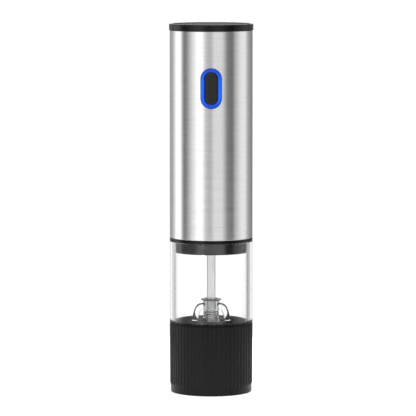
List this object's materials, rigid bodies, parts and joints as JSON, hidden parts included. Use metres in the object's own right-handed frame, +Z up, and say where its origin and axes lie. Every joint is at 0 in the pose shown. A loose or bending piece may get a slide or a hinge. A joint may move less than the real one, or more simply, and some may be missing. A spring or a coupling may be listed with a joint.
{
  "type": "electric pepper mill",
  "caption": "Slim upright battery pepper mill: ribbed black base with grinder, clear chamber, brushed steel barrel, lit oval button on the front, black cap.",
  "frame": {"origin": "centre of the face that the mill stands on", "axes": "+Z up along the mill, -Y towards the front with the button, +X to the right seen from the front"},
  "size_m": [0.0506, 0.0506, 0.2214],
  "materials": {
    "brushed_steel": "fine circumferential brushing",
    "black_plastic": "satin moulded",
    "black_gloss": "polished",
    "button_black": "satin moulded",
    "clear_acrylic": "polished, thick-walled",
    "clear_bridge": "moulded, clear",
    "shaft_steel": "drawn square bar",
    "spring_steel": "bright wire and stampings",
    "ceramic": "sintered white ceramic",
    "nylon": "moulded natural nylon",
    "bronze": "sintered or turned",
    "zinc_steel": "zinc plated",
    "motor_steel": null,
    "blue_light": "translucent, lit from behind",
    "battery_jacket": null,
    "board_green": "solder mask on glass fibre",
    "lamp_white": "moulded lamp body",
    "red_insulation": "wire insulation",
    "black_insulation": "wire insulation"
  },
  "bodies": {
    "base": {"base_ring": "black_plastic", "grinder_seat": "black_plastic", "stator_burr": "ceramic", "stator_retainer": "black_plastic", "chamber": "clear_acrylic", "bridge": "clear_bridge", "hub_bush": "clear_bridge"},
    "spindle": {"drive_shaft": "shaft_steel", "shaft_washer": "spring_steel", "burr_spring": "spring_steel"},
    "burr": {"rotor_burr": "ceramic", "spring_washer": "spring_steel"},
    "knob": {"adjust_knob": "black_plastic", "knob_nut": "bronze"},
    "head": {"barrel": "brushed_steel", "motor_housing": "black_plastic", "output_bush": "bronze", "motor_can": "motor_steel", "motor_end_cap": "black_plastic", "wire_positive": "red_insulation", "wire_negative": "black_insulation", "gearbox_case": "nylon", "gearbox_plate": "black_plastic", "gearbox_screw_1": "zinc_steel", "gearbox_screw_2": "zinc_steel", "battery_box": "black_plastic", "battery_1": "battery_jacket", "battery_2": "battery_jacket", "battery_3": "battery_jacket", "battery_4": "battery_jacket", "contact_spring_1": "spring_steel", "contact_plate_2": "spring_steel", "contact_spring_3": "spring_steel", "contact_plate_4": "spring_steel", "light_ring": "blue_light", "switch_board": "board_green", "tact_switch": "black_plastic", "led_upper": "lamp_white", "led_lower": "lamp_white", "board_screw_1": "zinc_steel", "board_screw_2": "zinc_steel"},
    "button": {"button": "button_black"},
    "lid": {"contact_carrier": "black_plastic", "contact_strip_1": "spring_steel", "contact_strip_2": "spring_steel"},
    "cap": {"top_cap": "black_gloss"},
    "output": {"output_carrier": "nylon"},
    "output_planet_1": {"output_planet_1": "nylon"},
    "output_planet_2": {"output_planet_2": "nylon"},
    "output_planet_3": {"output_planet_3": "nylon"},
    "input": {"input_carrier": "nylon"},
    "input_planet_1": {"input_planet_1": "nylon"},
    "input_planet_2": {"input_planet_2": "nylon"},
    "input_planet_3": {"input_planet_3": "nylon"},
    "pinion": {"motor_pinion": "bronze"}
  },
  "joints": [
    {"name": "head_lift", "type": "slide", "parent": "base", "child": "head", "axis": [0, 0, 1], "range_m": [0, 0.07]},
    {"name": "lid_lift", "type": "slide", "parent": "head", "child": "lid", "axis": [0, 0, 1], "range_m": [0, 0.03]},
    {"name": "cap_twist", "type": "hinge", "parent": "lid", "child": "cap", "pos_m": [0, 0, 0.215], "axis": [0, 0, 1], "range_deg": [0, 25]},
    {"name": "button_press", "type": "slide", "parent": "head", "child": "button", "axis": [0, 1, 0], "range_m": [0, 0.0008], "stiffness_N_per_m": 1500, "springref_m": -0.0004},
    {"name": "output_spin", "type": "hinge", "parent": "head", "child": "output", "pos_m": [0, 0, 0.09], "axis": [0, 0, 1], "continuous": true},
    {"name": "output_planet_1_spin", "type": "hinge", "parent": "output", "child": "output_planet_1", "pos_m": [0.00788, 0, 0.094], "axis": [0, 0, 1], "continuous": true},
    {"name": "output_planet_2_spin", "type": "hinge", "parent": "output", "child": "output_planet_2", "pos_m": [-0.00394, 0.00682, 0.094], "axis": [0, 0, 1], "continuous": true},
    {"name": "output_planet_3_spin", "type": "hinge", "parent": "output", "child": "output_planet_3", "pos_m": [-0.00394, -0.00682, 0.094], "axis": [0, 0, 1], "continuous": true},
    {"name": "input_spin", "type": "hinge", "parent": "head", "child": "input", "pos_m": [0, 0, 0.098], "axis": [0, 0, 1], "continuous": true},
    {"name": "input_planet_1_spin", "type": "hinge", "parent": "input", "child": "input_planet_1", "pos_m": [0.00788, 0, 0.102], "axis": [0, 0, 1], "continuous": true},
    {"name": "input_planet_2_spin", "type": "hinge", "parent": "input", "child": "input_planet_2", "pos_m": [-0.00394, 0.00682, 0.102], "axis": [0, 0, 1], "continuous": true},
    {"name": "input_planet_3_spin", "type": "hinge", "parent": "input", "child": "input_planet_3", "pos_m": [-0.00394, -0.00682, 0.102], "axis": [0, 0, 1], "continuous": true},
    {"name": "motor_spin", "type": "hinge", "parent": "head", "child": "pinion", "pos_m": [0, 0, 0.108], "axis": [0, 0, 1], "continuous": true},
    {"name": "spindle_spin", "type": "hinge", "parent": "base", "child": "spindle", "pos_m": [0, 0, 0.05], "axis": [0, 0, 1], "continuous": true},
    {"name": "burr_lift", "type": "slide", "parent": "spindle", "child": "burr", "axis": [0, 0, 1], "range_m": [0, 0.0008], "deforming": ["burr_spring"]},
    {"name": "knob_turn", "type": "hinge", "parent": "burr", "child": "knob", "pos_m": [0, 0, 0.01], "axis": [0, 0, 1], "range_deg": [0, 360]}
  ],
  "couplings": [
    {"joint": "output_planet_1_spin", "follows": "output_spin", "ratio": -2.75},
    {"joint": "output_planet_2_spin", "follows": "output_spin", "ratio": -2.75},
    {"joint": "output_planet_3_spin", "follows": "output_spin", "ratio": -2.75},
    {"joint": "input_spin", "follows": "output_spin", "ratio": 4.6667},
    {"joint": "input_planet_1_spin", "follows": "output_spin", "ratio": -12.833},
    {"joint": "input_planet_2_spin", "follows": "output_spin", "ratio": -12.833},
    {"joint": "input_planet_3_spin", "follows": "output_spin", "ratio": -12.833},
    {"joint": "motor_spin", "follows": "output_spin", "ratio": 21.778},
    {"joint": "spindle_spin", "follows": "output_spin", "ratio": 1},
    {"joint": "knob_turn", "follows": "burr_lift", "rad_per_m": 7854}
  ]
}
